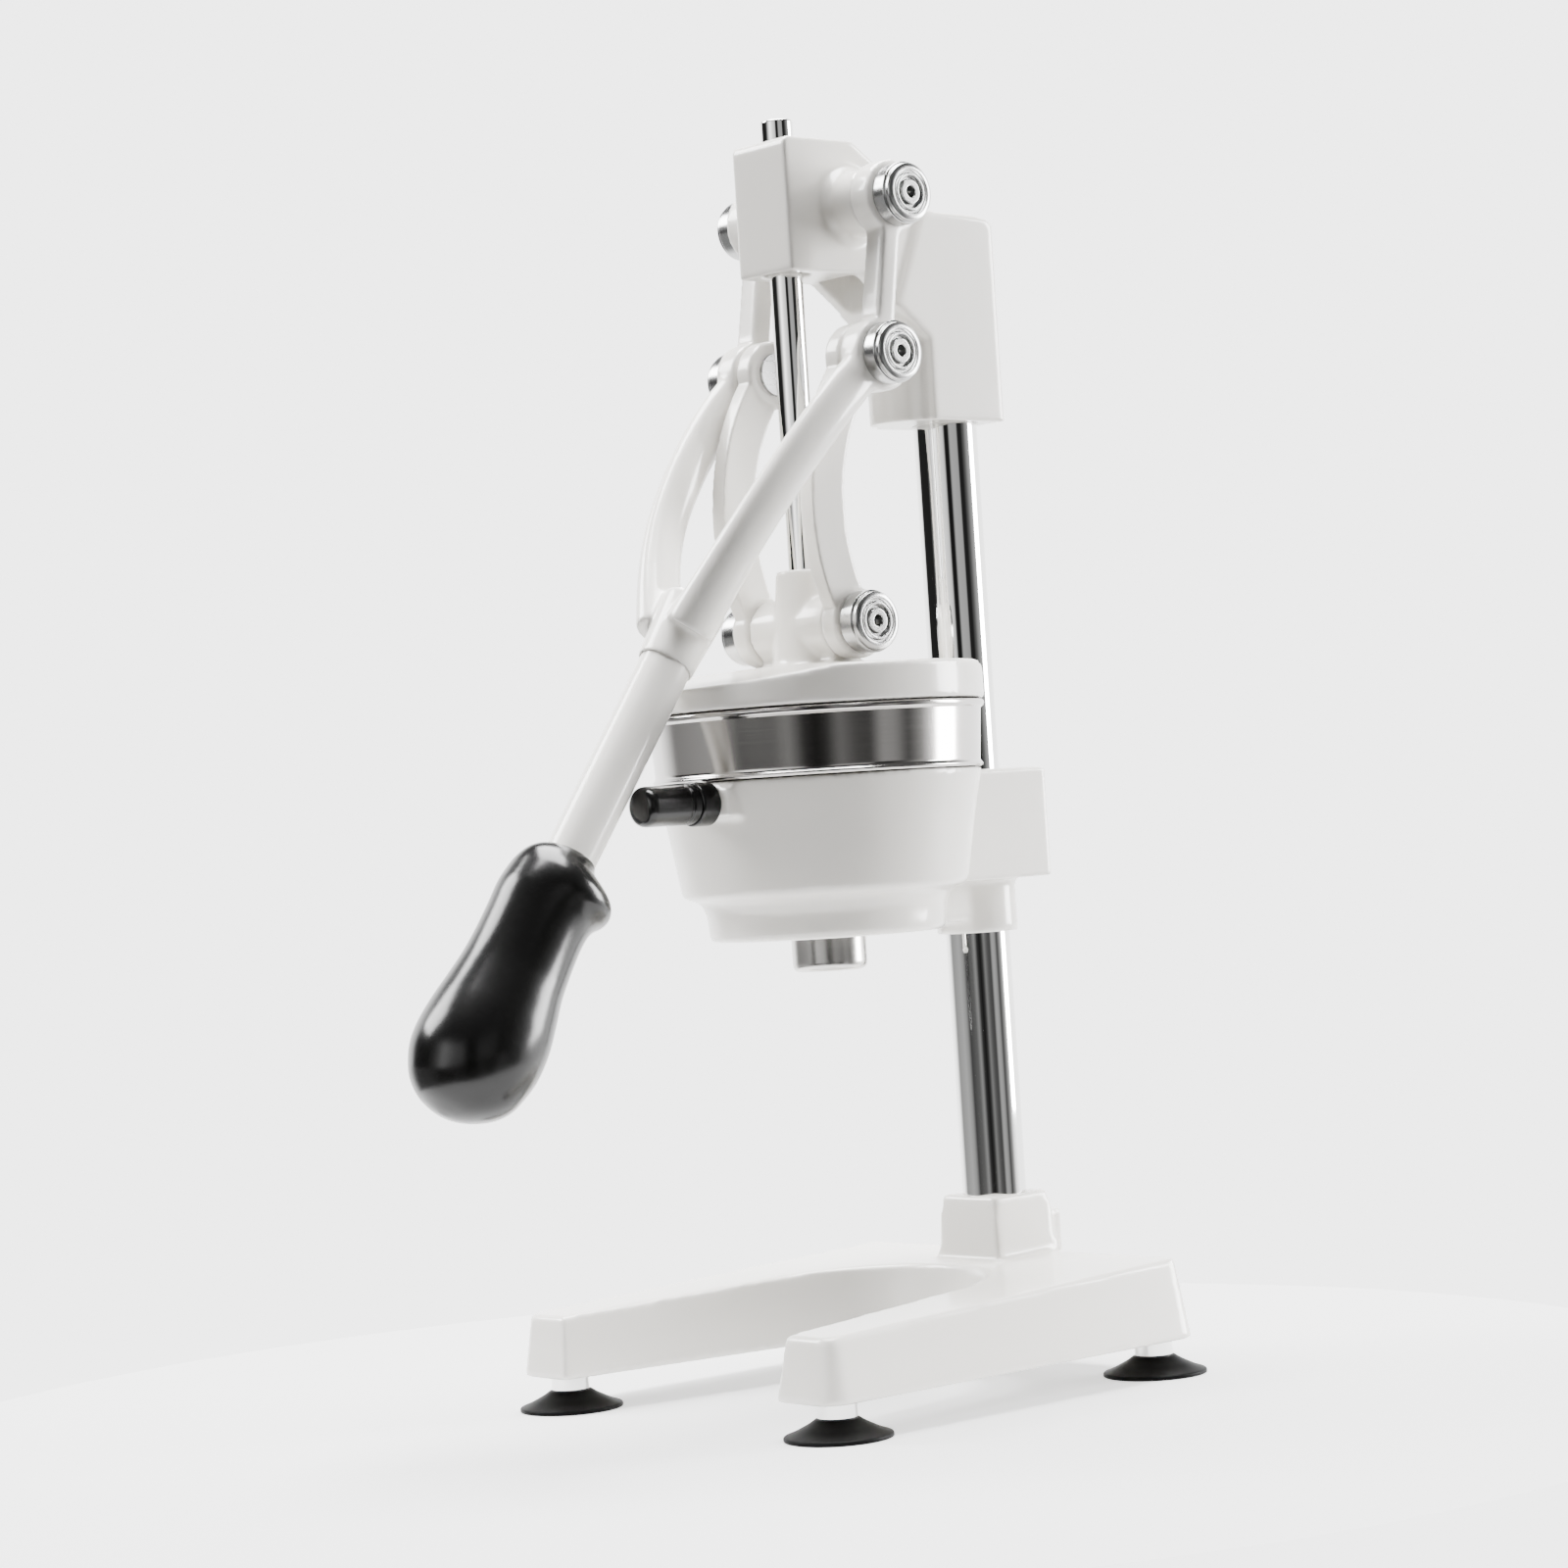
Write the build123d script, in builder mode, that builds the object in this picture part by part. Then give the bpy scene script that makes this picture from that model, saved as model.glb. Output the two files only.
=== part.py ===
"""Hand lever citrus press: cast base, column and head, toggle lever, press head, bowl and steel cup.

Z is up and the floor is z = 0. Every piece is drawn round the guide rod's axis (x = 0, y = 0), with the
lever and its grip towards -Y and the column towards +Y. Sizes are in millimetres.
"""
import os
from math import atan2, cos, sin

from build123d import *

os.makedirs("parts", exist_ok=True)

# ---- fits ----
bore_gap = 0.05          # running gap round an axle, on the radius
seat_gap = 0.05          # gap round a pressed or clamped piece, on the radius
swing_gap = 0.6          # gap between flat sides that swing past each other
rest_shift_y = 46.06     # the whole press is moved this far at the end, to centre it over the floor

# ---- bowl ----
bowl_rim_r = 63.4
bowl_rim_z = 238.0
bowl_wall = 3.2
bowl_mid_r = bowl_rim_r - 3.5
bowl_mid_z = 222.0
bowl_hip_r = bowl_rim_r - 8.0
bowl_hip_z = 195.0
ring_r = bowl_hip_r - 9.6
ring_z = 176.4
ring_floor = 181.5
ring_floor_slope_r = 17.0   # the ring's floor starts to rise this far from the drain
drain_r = 9.0
nozzle_r = 14.5
nozzle_bore_r = 7.0
nozzle_z = 163.0
nozzle_neck_rise = 5.5   # how far the nozzle's neck stands above the ring's floor
nozzle_nut_h = 4.0
nozzle_nut_flat_r = 12.5

# ---- steel cup and reamer ----
cup_sheet = 1.0
cup_neck_r = bowl_rim_r - 0.5
cup_low_r = bowl_rim_r - bowl_wall - 2.2
cup_floor_r = cup_low_r - 9.0
cup_rim_r = cup_neck_r + 2.4
cup_rim_z = 264.0
cup_bead_z = bowl_rim_z + 0.2
cup_floor_z = 205.0
cup_hole_r = 1.4
cup_hole_rings = (cup_floor_r - 9.0, cup_floor_r - 4.5)
cup_hole_count = 32
presser_r = cup_low_r - cup_sheet - 10.0
presser_cone_r = presser_r - 5.0
reamer_foot_r = presser_cone_r - 5.0
reamer_foot_h = 3.0
reamer_body_r = reamer_foot_r - 10.0
reamer_fin_r = reamer_foot_r - 5.5
reamer_ribs = 10
reamer_fin_half = 1.3
reamer_gap = 7.0         # room for the fruit's skin over the reamer's tip

# ---- column and its sockets ----
column_r = 12.7
column_cup_gap = 2.2     # room between the cup's rim and the column
column_y = cup_rim_r + column_r + column_cup_gap
column_bottom = 18.0
column_top = 440.0
column_end_bevel = 0.8
socket_top = 68.7
socket_foot_half = column_r + 4.7
socket_top_half = column_r + 2.5
pad_half_x = 13.0
pad_depth = 6.0
pad_top = 60.0
screw_r = 4.0
screw_hex = 4.0
screw_hex_depth = 2.5
screw_sink = 0.6         # how far a set screw's end lies below the face around it

# ---- base and feet ----
base_z = 13.5            # underside of the casting
base_half_x = 91.5
base_front_y = -95.0
base_rear_y = column_y + column_r + 4.1
base_front_top = 37.3    # top surface at the front ends of the legs
base_rear_top = 44.6
base_wall = 5.0
base_draft = 9.0         # degrees
base_corner_r = 9.0
mouth_r = 47.0           # round end of the opening between the legs, at the underside
mouth_front_half = base_half_x - 27.5
boss_r = 11.0
foot_x = base_half_x - 14.3
foot_front_y = base_front_y + 15.3
foot_rear_y = base_rear_y - 12.0
foot_r = 20.0
foot_h = 7.4
foot_neck_r = 7.4
foot_stud_r = 3.5
foot_stud_top = 28.0
foot_boss_roof = 4.0     # metal above a foot's stud

# ---- head ----
head_half_x = 15.5
head_back_half_x = column_r + 4.8
head_front_y = -10.7
head_top = 484.5
head_floor = 432.5       # underside of the front block
head_front_back_y = 26.0
head_top_back_y = 25.0
head_back_y = column_y + column_r + 4.1
head_back_top = 459.0
head_foot = 376.0
head_plate_y = column_y - 21.7
head_plate_z = 408.0
head_wall = 5.0
nose_r = 14.5
nose_y = column_y - 21.2
neck_brow = (36.8, 476.7)          # where the neck's top turns down
neck_foot = (column_y - 18.2, 461.0)
boss_taper = 4.0
channel_gap = 3.0
head_screw_z = (396.0, 428.0)

# ---- toggle pivots: (y, z) ----
top_y, top_z = 21.0, 458.5
mid_y, mid_z = 10.7, 397.2
low_y, low_z = 0.0, 295.4
axle_r = 6.0
eye_r = 14.2
cap_r = 12.0
cap_w = 9.0
cap_seat = 3.5           # how far an axle's end goes into its cap
cap_groove_r = 5.6
cap_centre_r = 1.7
boss_root_r = 15.6
boss_eye_r = 12.8

# ---- lever ----
lever_in = 31.0          # inner and outer sides of the lever's eyes, from the centre
lever_out = 42.0
bar_w = 9.0
lever_slope = atan2(0.806, 0.591)
arm_stations = (0.0, 27.0, 53.0, 78.0, 102.0, 128.0)
arm_spread = (35.6, 36.6, 33.4, 28.3, 20.4, 8.5)
arm_rise = (0.0, 6.6, 9.4, 10.0, 8.0, 3.0)
arm_half_w = (9.0, 9.0, 9.0, 9.0, 9.5, 10.5)
arm_half_t = (5.5, 5.4, 5.4, 5.6, 6.4, 8.0)
tube_r = 10.0
fork_socket_start = 114.0
fork_socket_end = 143.0
fork_socket_r = tube_r + 2.8
fork_socket_taper = 3.5  # degrees, down to a thin lip where the tube comes out
tube_bore_r = 8.0
tube_start = 120.0
tube_end = 300.0
grip_stations = (229.5, 232.0, 236.0, 240.5, 246.0, 253.0, 262.0, 272.0, 284.0, 297.0, 310.0, 318.0, 325.0, 330.0,
                 334.0, 336.4)
grip_radii = (11.5, 15.0, 19.2, 21.3, 20.8, 19.0, 18.0, 18.6, 20.8, 23.0, 23.4, 22.2, 19.2, 15.6,
              10.6, 5.6)
grip_tip = 337.5

# ---- links ----
link_in = 21.6
link_out = 30.4
link_plate_in = 22.4
link_plate_out = 29.6
link_bulge_y, link_bulge_z = -12.0, 344.0
link_w = 16.5
washer_r = 10.5

# ---- guide rod and press head ----
rod_r = 6.35
rod_bottom = 303.0
rod_top = 493.0
guide_clear = 2.4        # the rod's slot in the head is the linkage's opened joint
guide_slot = 1.1         # extra length of that slot towards the column
press_boss_top = 318.0
press_boss_top_r = rod_r + 4.95
press_boss_foot_r = rod_r + 7.55
cover_hollow = 5.6       # depth of the cover's underside
cover_crown_r = 24.0
cross_web_half_y = 7.0
cross_half_x = 21.0
cross_r = 12.6
cover_r = cup_rim_r + 0.7
cover_z = 264.4
cover_wall = 4.0
cover_rim_side = 279.0
cover_rim_front = 273.2
cover_crown = 281.0
cover_fall_y = 24.0      # the top starts to fall this far in front of and behind the rod
cover_relief_r = column_r + 4.3    # hollow in the cover's rear edge that clears the column
presser_z = 236.0
presser_crown_r = 8.0
presser_rib_half = 0.9
presser_roof = 257.0
presser_ribs = 12
presser_screw_r = 3.0
presser_screw_head_r = 5.2
presser_screw_head_h = 4.0
presser_screw_hex = 5.0

# ---- bowl's bracket, sleeve and handle ----
bracket_half_x = 25.0
bracket_back_y = column_y + column_r + 6.1
bracket_front_y = column_y - 40.2   # inside the bowl's wall
bracket_foot = 193.5
sleeve_r = column_r + 3.5
sleeve_foot = 172.5
web_half_x = 11.0
web_front_y = bracket_front_y - 2.0
bowl_screw_z = 216.0
handle_x = 8.0
handle_z = 230.0
lug_half_x = 12.0
lug_half_z = 5.6
lug_front_y = -(bowl_rim_r + 0.3)
lug_root_y = lug_front_y + 13.7
collar_r = 8.4
collar_len = 8.5
handle_r = 7.6
handle_end_y = lug_front_y - 33.3
handle_stud_end = 10.0   # solid plastic past the stud's end
handle_tip_r = 3.5
handle_stud_r = 3.0
handle_stud_depth = 4.5


def box(x0, x1, y0, y1, z0, z1, mode=Mode.ADD):
    """A block between two corners."""
    with Locations(((x0 + x1) / 2, (y0 + y1) / 2, (z0 + z1) / 2)):
        Box(x1 - x0, y1 - y0, z1 - z0, mode=mode)


def rod_x(x0, x1, y, z, r, mode=Mode.ADD, r_end=None):
    """A round bar or cone along X, from x0 to x1."""
    turn = 90 if x1 > x0 else -90
    with Locations(Location((x0, y, z), (0, turn, 0))):
        if r_end is None:
            Cylinder(r, abs(x1 - x0), align=(Align.CENTER, Align.CENTER, Align.MIN), mode=mode)
        else:
            Cone(r, r_end, abs(x1 - x0), align=(Align.CENTER, Align.CENTER, Align.MIN), mode=mode)


def rod_y(x, y0, y1, z, r, mode=Mode.ADD):
    """A round bar along Y, from y0 to y1."""
    with Locations(Location((x, y0, z), (-90, 0, 0))):
        Cylinder(r, y1 - y0, align=(Align.CENTER, Align.CENTER, Align.MIN), mode=mode)


def rod_z(x, y, z0, z1, r, mode=Mode.ADD):
    """A round bar along Z, from z0 to z1."""
    with Locations((x, y, z0)):
        Cylinder(r, z1 - z0, align=(Align.CENTER, Align.CENTER, Align.MIN), mode=mode)


def turned(points, plane=Plane.XZ, axis=Axis.Z):
    """A turned solid from (radius, height) points."""
    with BuildSketch(plane) as profile:
        with BuildLine():
            Polyline(*points, close=True)
        make_face()
    revolve(profile.sketch, axis=axis)


def both_sides(solid):
    """The solid and its mirror image across the middle plane."""
    add(solid)
    add(solid.mirror(Plane.YZ))


def save(piece, name):
    """Centre the piece over the floor and write it out."""
    moved = piece.moved(Location((0, rest_shift_y, 0)))
    moved.label = name
    export_step(moved, f"parts/{name}.step")


# ---------------------------------------------------------------- base casting
base_h = base_rear_top + 6 - base_z
slope = (base_rear_top - base_front_top) / (base_rear_y - base_front_y)


def base_block(inset, height):
    """The base's tapered outline, less the opening between its legs."""
    with BuildPart() as block:
        with BuildSketch(Plane.XY.offset(base_z)):
            with Locations((0, (base_front_y + base_rear_y) / 2)):
                width = 2 * (base_half_x - inset)
                depth = base_rear_y - base_front_y - 2 * inset
                RectangleRounded(width, depth, base_corner_r - inset * 0.4)
        extrude(amount=height, taper=base_draft)
        with BuildSketch(Plane.XY.offset(base_z)):
            Circle(mouth_r + inset)
            with Locations((0, base_front_y - 20)):
                Rectangle(2 * (mouth_front_half + inset), 2)
            make_hull()
        extrude(amount=height, taper=-base_draft, mode=Mode.SUBTRACT)
    return block.part


def slope_cut(drop):
    """Everything above the base's sloping top, lowered by the given drop."""
    with BuildPart() as cut:
        with BuildSketch(Plane.YZ):
            with BuildLine():
                front, rear = base_front_y - 10, base_rear_y + 10
                z_front = base_front_top - 10 * slope - drop
                z_rear = base_rear_top + 10 * slope - drop
                Polyline((front, z_front), (rear, z_rear), (rear, 100), (front, 100), close=True)
            make_face()
        extrude(amount=base_half_x + 10, both=True)
    return cut.part


base_cavity = base_block(base_wall, base_h) - slope_cut(base_wall)
feet_at = [(sx * foot_x, y) for sx in (-1, 1) for y in (foot_front_y, foot_rear_y)]

with BuildPart() as base:
    add(base_block(0, base_h))
    add(slope_cut(0), mode=Mode.SUBTRACT)
    add(base_cavity, mode=Mode.SUBTRACT)
    for x, y in feet_at:
        rod_z(x, y, base_z, foot_stud_top + foot_boss_roof, boss_r)
    rod_z(0, column_y, base_z, base_rear_top, socket_foot_half - 2)
    with BuildSketch(Plane.XY.offset(base_rear_top - 2)):
        with Locations((0, column_y)):
            Rectangle(2 * socket_foot_half, 2 * socket_foot_half)
    with BuildSketch(Plane.XY.offset(socket_top)):
        with Locations((0, column_y)):
            Rectangle(2 * socket_top_half, 2 * socket_top_half)
    loft()
    pad_y = column_y + socket_foot_half
    box(-pad_half_x, pad_half_x, pad_y - 6, pad_y + pad_depth, base_rear_top - 2, pad_top)
    rod_z(0, column_y, column_bottom, socket_top + 1, column_r + seat_gap, Mode.SUBTRACT)
    pad_z = (base_rear_top + pad_top) / 2
    rod_y(0, column_y, pad_y + pad_depth + 1, pad_z, screw_r + seat_gap, Mode.SUBTRACT)
    for x, y in feet_at:
        rod_z(x, y, base_z - 1, foot_stud_top + 1, foot_stud_r + seat_gap, Mode.SUBTRACT)
save(base.part, "base")

# ---------------------------------------------------------------- feet
with BuildPart() as suction_cup:
    turned([(0, 4.4), (9, 3.6), (16.5, 0), (foot_r, 0), (foot_r, 1.5), (10.5, 5.6), (8.2, foot_h), (0, foot_h)])
with BuildPart() as suction_cups:
    for x, y in feet_at:
        add(suction_cup.part.moved(Location((x, y, 0))))
save(suction_cups.part, "suction_cups")

with BuildPart() as foot_studs:
    for x, y in feet_at:
        rod_z(x, y, foot_h, base_z, foot_neck_r)
        rod_z(x, y, foot_h, foot_stud_top, foot_stud_r)
save(foot_studs.part, "foot_studs")

# ---------------------------------------------------------------- column
with BuildPart() as column:
    rod_z(0, column_y, column_bottom, column_top, column_r)
    chamfer(column.edges().filter_by(GeomType.CIRCLE), column_end_bevel)
save(column.part, "column")

# ---------------------------------------------------------------- head casting
with BuildPart() as head:
    with BuildSketch(Plane.YZ):
        with BuildLine():
            Polyline(
                (head_front_y, head_floor), (head_front_y, head_top - 2), (head_front_y + 2, head_top),
                (head_top_back_y, head_top), neck_brow, neck_foot,
                (neck_foot[0] + 4, head_back_top),
                (head_back_y - 8, head_back_top), (head_back_y - 8, head_plate_z), (head_plate_y, head_plate_z),
                (head_front_back_y, head_floor), close=True)
        make_face()
    extrude(amount=head_half_x, both=True)
    with BuildSketch(Plane.YZ):
        with BuildLine():
            Polyline((head_plate_y, head_foot), (head_plate_y, head_plate_z), (head_plate_y - 16, 421.0),
                     (head_plate_y, head_back_top), (head_back_y - 4, head_back_top - 1.2),
                     (head_back_y, head_back_top - 4), (head_back_y, head_foot), close=True)
        make_face()
    extrude(amount=head_back_half_x, both=True)
    rod_z(0, nose_y, head_foot, head_plate_z + 14, nose_r)
    # the neck is a channel that is open from below, between two side plates
    box(-head_half_x + head_wall, head_half_x - head_wall, head_front_back_y, nose_y - nose_r - channel_gap,
        head_plate_z - 2, head_back_top - 2, Mode.SUBTRACT)
    for side in (-1, 1):
        rod_x(side * head_half_x, side * (head_half_x + boss_taper), top_y, top_z, boss_root_r, r_end=boss_eye_r)
        rod_x(side * head_half_x, side * (lever_in - swing_gap), top_y, top_z, boss_eye_r)
    rod_z(0, column_y, head_foot - 1, column_top + 2, column_r + seat_gap, Mode.SUBTRACT)
    rod_x(-lever_in - 1, lever_in + 1, top_y, top_z, axle_r + seat_gap, Mode.SUBTRACT)
    with BuildSketch(Plane.XY.offset(head_floor - 30)):
        Circle(rod_r + guide_clear)
        with Locations((0, guide_slot)):
            Circle(rod_r + guide_clear)
        make_hull()
    extrude(amount=head_top - head_floor + 40, mode=Mode.SUBTRACT)
    for z in head_screw_z:
        rod_y(0, column_y, head_back_y + 1, z, screw_r + seat_gap, Mode.SUBTRACT)
save(head.part, "head")


# ---------------------------------------------------------------- set screws that grip the column
def set_screws(places):
    """Socket set screws along Y, from the column's back to an outer face, at (outer y, z)."""
    with BuildPart() as screws:
        for y_out, z in places:
            rod_y(0, column_y + column_r, y_out, z, screw_r)
            with BuildSketch(Plane.XZ.offset(-y_out).shift_origin((0, y_out, z))):
                RegularPolygon(screw_hex / 2, 6, major_radius=False)
            extrude(amount=screw_hex_depth, mode=Mode.SUBTRACT)
    return screws.part


save(set_screws([(pad_y + pad_depth - screw_sink, pad_z)]), "base_set_screw")
save(set_screws([(head_back_y - screw_sink, z) for z in head_screw_z]), "head_set_screws")
save(set_screws([(bracket_back_y - screw_sink, bowl_screw_z)]), "bowl_set_screw")


# ---------------------------------------------------------------- axles and their caps
def cap(x_in, y, z):
    """A turned end cap over an axle's end, on the right-hand side."""
    with BuildPart() as piece:
        rod_x(x_in, x_in + cap_w, y, z, cap_r)
        chamfer(piece.edges().filter_by(GeomType.CIRCLE), 0.7)
        rod_x(x_in - 1, x_in + cap_seat, y, z, axle_r + seat_gap, Mode.SUBTRACT)
        rod_x(x_in + cap_w - 0.8, x_in + cap_w + 1, y, z, cap_groove_r + 0.5, Mode.SUBTRACT)
        rod_x(x_in + cap_w - 1.5, x_in + cap_w - 0.1, y, z, cap_groove_r - 0.5)
        rod_x(x_in + cap_w - 4, x_in + cap_w + 1, y, z, cap_centre_r, Mode.SUBTRACT)
    return piece.part


def caps(x_in, y, z):
    """The two caps of one pivot."""
    with BuildPart() as pair:
        both_sides(cap(x_in, y, z))
    return pair.part


axle_half = lever_out + cap_seat - 0.1
low_axle_half = link_out + swing_gap + cap_seat - 0.1
with BuildPart() as top_axle:
    rod_x(-axle_half, axle_half, top_y, top_z, axle_r)
save(top_axle.part, "top_axle")
save(caps(lever_out, top_y, top_z), "top_caps")

with BuildPart() as mid_pins:
    for side in (-1, 1):
        rod_x(side * link_in, side * axle_half, mid_y, mid_z, axle_r)
        rod_x(side * (link_in - 1.6), side * (link_in - 0.1), mid_y, mid_z, axle_r + 2.5)
save(mid_pins.part, "mid_pins")
save(caps(lever_out, mid_y, mid_z), "mid_caps")

with BuildPart() as low_axle:
    rod_x(-low_axle_half, low_axle_half, low_y, low_z, axle_r)
save(low_axle.part, "low_axle")
save(caps(link_out + swing_gap, low_y, low_z), "low_caps")


# ---------------------------------------------------------------- curved links
def link():
    """The right-hand link: a bowed plate with an eye at each end."""
    with BuildPart() as piece:
        with BuildSketch(Plane.YZ.offset(link_plate_in)):
            with BuildLine():
                ThreePointArc((mid_y, mid_z), (link_bulge_y, link_bulge_z), (low_y, low_z))
            trace(line_width=link_w)
            with Locations((mid_y, mid_z), (low_y, low_z)):
                Circle(eye_r - 0.6)
        extrude(amount=link_plate_out - link_plate_in)
        for y, z in ((mid_y, mid_z), (low_y, low_z)):
            rod_x(link_in, link_out, y, z, eye_r - 1.6)
            rod_x(link_in - 1, link_out + 1, y, z, axle_r + bore_gap, Mode.SUBTRACT)
    return piece.part


right_link = link()
save(right_link, "link_right")
save(right_link.mirror(Plane.YZ), "link_left")

with BuildPart() as link_washers:
    for side in (-1, 1):
        rod_x(side * (link_out + 0.05), side * (lever_in - 0.05), mid_y, mid_z, washer_r)
        rod_x(side * (link_out - 1), side * (lever_in + 1), mid_y, mid_z, axle_r + bore_gap, Mode.SUBTRACT)
save(link_washers.part, "link_washers")


# ---------------------------------------------------------------- lever
def lever_point(s, x=0.0, rise=0.0):
    """A point at distance s down the lever from its middle pivot, raised above its line."""
    c, k = cos(lever_slope), sin(lever_slope)
    return Vector(x, mid_y - s * c - rise * k, mid_z - s * k + rise * c)


def lever_plane(s):
    """The plane across the lever at distance s."""
    c, k = cos(lever_slope), sin(lever_slope)
    return Plane(origin=lever_point(s), x_dir=(1, 0, 0), z_dir=(0, -c, -k))


def lever_bar(s0, s1, r, mode=Mode.ADD, taper=0.0):
    """A round bar along the lever, from s0 to s1."""
    with BuildSketch(lever_plane(s0)) as disc:
        Circle(r)
    extrude(disc.sketch, amount=s1 - s0, taper=taper, mode=mode)


def fork_side():
    """The right-hand side of the fork: top eye, bar, middle eye and bowed arm."""
    path = [lever_point(s, x, r) for s, x, r in zip(arm_stations, arm_spread, arm_rise)]
    with BuildPart() as side:
        with BuildSketch(Plane.YZ.offset(lever_in)):
            with BuildLine():
                Line((top_y, top_z), (mid_y, mid_z))
            trace(line_width=bar_w)
        extrude(amount=lever_out - lever_in)
        last = len(path) - 1
        for i, point in enumerate(path):
            run = path[min(i + 1, last)] - path[max(i - 1, 0)]
            with BuildSketch(Plane(origin=point, x_dir=(1, 0, 0), z_dir=run)):
                Ellipse(arm_half_t[i], arm_half_w[i])
        loft()
        for y, z in ((top_y, top_z), (mid_y, mid_z)):
            rod_x(lever_in, lever_out, y, z, eye_r)
    return side.part


with BuildPart() as lever_fork:
    both_sides(fork_side())
    lever_bar(fork_socket_start, fork_socket_end, fork_socket_r, taper=fork_socket_taper)
    for y, z in ((top_y, top_z), (mid_y, mid_z)):
        for side in (-1, 1):
            rod_x(side * (lever_in - 6), side * (lever_out + 1), y, z, axle_r + bore_gap, Mode.SUBTRACT)
            rod_x(side * lever_out, side * (lever_out + cap_w), y, z, cap_r + swing_gap, Mode.SUBTRACT)
    lever_bar(tube_start - 1, fork_socket_end + 1, tube_r + seat_gap, Mode.SUBTRACT)
save(lever_fork.part, "lever_fork")

with BuildPart() as lever_tube:
    lever_bar(tube_start, tube_end, tube_r)
    lever_bar(tube_start - 1, tube_end + 1, tube_bore_r, Mode.SUBTRACT)
save(lever_tube.part, "lever_tube")

with BuildPart() as lever_grip:
    grip_plane = Plane(origin=lever_point(0), x_dir=(1, 0, 0), z_dir=(0, sin(lever_slope), -cos(lever_slope)))
    grip_axis = Axis(lever_point(0), lever_point(1) - lever_point(0))
    with BuildSketch(grip_plane):
        with BuildLine():
            sign = 1 if grip_plane.to_local_coords(lever_point(100)).Y > 0 else -1
            outline = [(r, sign * s) for s, r in zip(grip_stations, grip_radii)]
            Spline(*outline, (0, sign * grip_tip), tangents=[(1, sign * 0.4), (-1, 0)])
            Polyline((0, sign * grip_tip), (0, sign * grip_stations[0]), outline[0])
        make_face()
    revolve(axis=grip_axis)
    lever_bar(grip_stations[0] - 1, tube_end + 0.1, tube_r + seat_gap, Mode.SUBTRACT)
save(lever_grip.part, "lever_grip")

# ---------------------------------------------------------------- guide rod and press head
with BuildPart() as guide_rod:
    rod_z(0, 0, rod_bottom, rod_top, rod_r)
    chamfer(guide_rod.edges().filter_by(GeomType.CIRCLE).group_by(Axis.Z)[-1], column_end_bevel)
save(guide_rod.part, "guide_rod")

with BuildPart() as press_head:
    turned([(0, cover_z), (cover_r, cover_z), (cover_r, cover_rim_side), (cover_crown_r, cover_crown), (0, cover_crown)])
    for side in (-1, 1):
        with BuildSketch(Plane.YZ):
            with BuildLine():
                run = cover_r - cover_fall_y
                drop = (cover_crown - cover_rim_front) / run
                far = cover_r + 10
                Polyline((side * cover_fall_y, cover_crown), (side * far, cover_rim_front - 10 * drop),
                         (side * far, cover_crown + 10), (side * cover_fall_y, cover_crown + 10), close=True)
            make_face()
        extrude(amount=cover_r + 5, both=True, mode=Mode.SUBTRACT)
    rod_z(0, 0, cover_z - 1, cover_z + cover_hollow, cover_r - cover_wall, Mode.SUBTRACT)
    with Locations((0, 0, cover_z + cover_hollow)):
        Cone(press_boss_foot_r + 2, press_boss_top_r, press_boss_top - cover_z - cover_hollow,
             align=(Align.CENTER, Align.CENTER, Align.MIN))
    rod_x(-cross_half_x, cross_half_x, low_y, low_z, cross_r)
    box(-cross_half_x, cross_half_x, -cross_web_half_y, cross_web_half_y, cover_crown - 3, low_z)
    rod_x(-cross_half_x - 1, cross_half_x + 1, low_y, low_z, axle_r + seat_gap, Mode.SUBTRACT)
    rod_z(0, 0, rod_bottom, press_boss_top + 1, rod_r + seat_gap, Mode.SUBTRACT)
    rod_z(0, column_y, cover_z - 1, cover_crown + 1, cover_relief_r, Mode.SUBTRACT)
    rod_z(0, 0, cover_z - 1, low_z - axle_r - 3, presser_screw_r + seat_gap, Mode.SUBTRACT)
save(press_head.part, "press_head")

presser_top = cover_z + cover_hollow
with BuildPart() as presser:
    turned([(0, presser_roof), (presser_crown_r, presser_roof), (presser_cone_r, presser_z), (presser_r, presser_z),
            (presser_r - 3, presser_z + 14), (presser_r - 12, presser_top), (0, presser_top)])
    with PolarLocations(0, presser_ribs):
        with BuildSketch(Plane.XZ) as rib:
            with BuildLine():
                Polyline((6, presser_roof + 1), (9, presser_roof - 6), (presser_cone_r - 2, presser_z),
                         (presser_cone_r + 2, presser_z), (12, presser_roof + 1), close=True)
            make_face()
        rib_solid = extrude(rib.sketch, amount=presser_rib_half, both=True, mode=Mode.PRIVATE)
        add(rib_solid)
    rod_z(0, 0, presser_z, presser_top + 1, presser_screw_r + seat_gap, Mode.SUBTRACT)
save(presser.part, "presser")

with BuildPart() as presser_screw:
    screw_foot = presser_roof - presser_screw_head_h
    rod_z(0, 0, screw_foot, presser_roof, presser_screw_head_r)
    rod_z(0, 0, screw_foot, low_z - axle_r - 4, presser_screw_r)
    with BuildSketch(Plane.XY.offset(screw_foot)):
        RegularPolygon(presser_screw_hex / 2, 6, major_radius=False)
    extrude(amount=screw_hex_depth, mode=Mode.SUBTRACT)
save(presser_screw.part, "presser_screw")

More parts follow.
